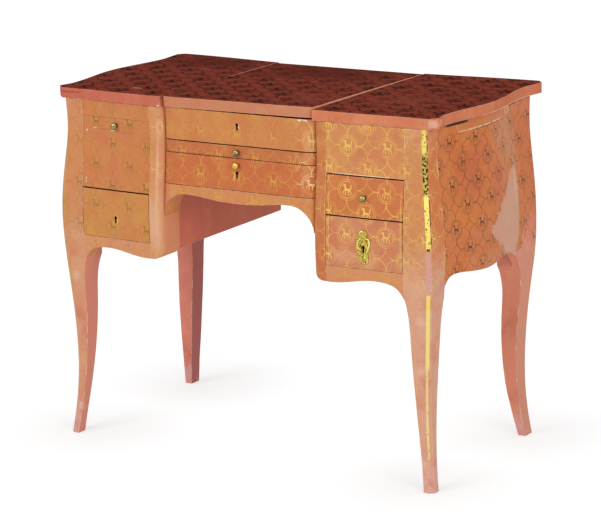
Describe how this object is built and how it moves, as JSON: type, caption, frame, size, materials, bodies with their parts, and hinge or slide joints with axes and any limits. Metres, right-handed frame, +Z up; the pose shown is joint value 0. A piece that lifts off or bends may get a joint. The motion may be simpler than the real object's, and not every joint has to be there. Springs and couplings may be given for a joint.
{
  "type": "dressing table",
  "caption": "Lacquered dressing table with a kneehole, bombe front and cabriole legs, hinged top flaps over wells, a brushing slide and drawers.",
  "frame": {"origin": "on the floor, under the middle of the table's overall width and depth", "axes": "+X to the right of someone facing the front, +Y to the back, +Z up"},
  "size_m": [0.907, 0.4724, 0.7334],
  "materials": {
    "lacquered_wood": "aged red lacquer over wood, drawn with gilt and black, worn satin",
    "plain_wood": "plain unpolished wood",
    "turned_brass": "turned, tarnished",
    "gilt_brass": "cast, chased and gilt",
    "lock_iron": "dull forged iron",
    "mirror_glass": "silvered glass"
  },
  "bodies": {
    "case": {"front_left_leg": "lacquered_wood", "front_right_leg": "lacquered_wood", "back_left_leg": "lacquered_wood", "back_right_leg": "lacquered_wood", "left_side_panel": "lacquered_wood", "right_side_panel": "lacquered_wood", "back_panels": "plain_wood", "left_kneehole_side": "lacquered_wood", "right_kneehole_side": "lacquered_wood", "left_front_stile": "lacquered_wood", "right_front_stile": "lacquered_wood", "left_upper_front": "lacquered_wood", "right_upper_front": "lacquered_wood", "centre_upper_front": "lacquered_wood", "left_bottom_rail": "lacquered_wood", "right_bottom_rail": "lacquered_wood", "centre_apron": "lacquered_wood", "bottom_boards": "plain_wood", "kneehole_ceiling": "plain_wood", "dustboards": "plain_wood", "runners": "plain_wood", "left_well_tray": "plain_wood", "right_well_tray": "plain_wood", "centre_well_floor": "plain_wood", "top_rails": "plain_wood", "case_hinge_leaves": "turned_brass", "flap_lock": "lock_iron"},
    "left_flap_leaf": {"left_flap": "lacquered_wood", "left_flap_cleat": "lacquered_wood", "left_flap_hinge_leaves": "turned_brass"},
    "right_flap_leaf": {"right_flap": "lacquered_wood", "right_flap_cleat": "lacquered_wood", "right_flap_hinge_leaves": "turned_brass"},
    "centre_flap_leaf": {"centre_flap": "lacquered_wood", "mirror_frame": "plain_wood", "mirror_glass": "mirror_glass", "centre_flap_hinge_leaves": "turned_brass"},
    "slide": {"brushing_slide": "lacquered_wood", "slide_knob": "turned_brass"},
    "centre_drawer": {"centre_drawer_front": "lacquered_wood", "centre_drawer_box": "plain_wood", "centre_drawer_knob": "turned_brass", "centre_drawer_lock": "lock_iron"},
    "left_upper_drawer": {"left_upper_drawer_front": "lacquered_wood", "left_upper_drawer_box": "plain_wood", "left_upper_knob": "turned_brass"},
    "right_upper_drawer": {"right_upper_drawer_front": "lacquered_wood", "right_upper_drawer_box": "plain_wood", "right_upper_knob": "turned_brass"},
    "left_lower_drawer": {"left_lower_drawer_front": "lacquered_wood", "left_lower_drawer_box": "plain_wood", "left_drawer_lock": "lock_iron"},
    "right_lower_drawer": {"right_lower_drawer_front": "lacquered_wood", "right_lower_drawer_box": "plain_wood", "right_drawer_lock": "lock_iron", "escutcheon": "gilt_brass"},
    "flap_lock_bolt": {"flap_bolt": "lock_iron"},
    "centre_lock_bolt": {"centre_drawer_bolt": "lock_iron"},
    "left_lock_bolt": {"left_drawer_bolt": "lock_iron"},
    "right_lock_bolt": {"right_drawer_bolt": "lock_iron"}
  },
  "joints": [
    {"name": "left_flap_hinge", "type": "hinge", "parent": "case", "child": "left_flap_leaf", "pos_m": [-0.428, 0, 0.7087], "axis": [0, -1, 0], "range_deg": [0, 90]},
    {"name": "right_flap_hinge", "type": "hinge", "parent": "case", "child": "right_flap_leaf", "pos_m": [0.428, 0, 0.7087], "axis": [0, 1, 0], "range_deg": [0, 90]},
    {"name": "centre_flap_hinge", "type": "hinge", "parent": "case", "child": "centre_flap_leaf", "pos_m": [0, 0.21323, 0.7087], "axis": [-1, 0, 0], "range_deg": [0, 100]},
    {"name": "brushing_slide_run", "type": "slide", "parent": "case", "child": "slide", "axis": [0, -1, 0], "range_m": [0, 0.26]},
    {"name": "centre_drawer_run", "type": "slide", "parent": "case", "child": "centre_drawer", "axis": [0, -1, 0], "range_m": [0, 0.3]},
    {"name": "left_upper_drawer_run", "type": "slide", "parent": "case", "child": "left_upper_drawer", "axis": [0, -1, 0], "range_m": [0, 0.3]},
    {"name": "right_upper_drawer_run", "type": "slide", "parent": "case", "child": "right_upper_drawer", "axis": [0, -1, 0], "range_m": [0, 0.3]},
    {"name": "left_lower_drawer_run", "type": "slide", "parent": "case", "child": "left_lower_drawer", "axis": [0, -1, 0], "range_m": [0, 0.3]},
    {"name": "right_lower_drawer_run", "type": "slide", "parent": "case", "child": "right_lower_drawer", "axis": [0, -1, 0], "range_m": [0, 0.3]},
    {"name": "flap_lock_bolt_throw", "type": "slide", "parent": "case", "child": "flap_lock_bolt", "axis": [0, 0, 1], "range_m": [0, 0.006]},
    {"name": "centre_lock_bolt_throw", "type": "slide", "parent": "centre_drawer", "child": "centre_lock_bolt", "axis": [0, 0, 1], "range_m": [0, 0.006]},
    {"name": "left_lock_bolt_throw", "type": "slide", "parent": "left_lower_drawer", "child": "left_lock_bolt", "axis": [0, 0, 1], "range_m": [0, 0.006]},
    {"name": "right_lock_bolt_throw", "type": "slide", "parent": "right_lower_drawer", "child": "right_lock_bolt", "axis": [0, 0, 1], "range_m": [0, 0.006]}
  ]
}
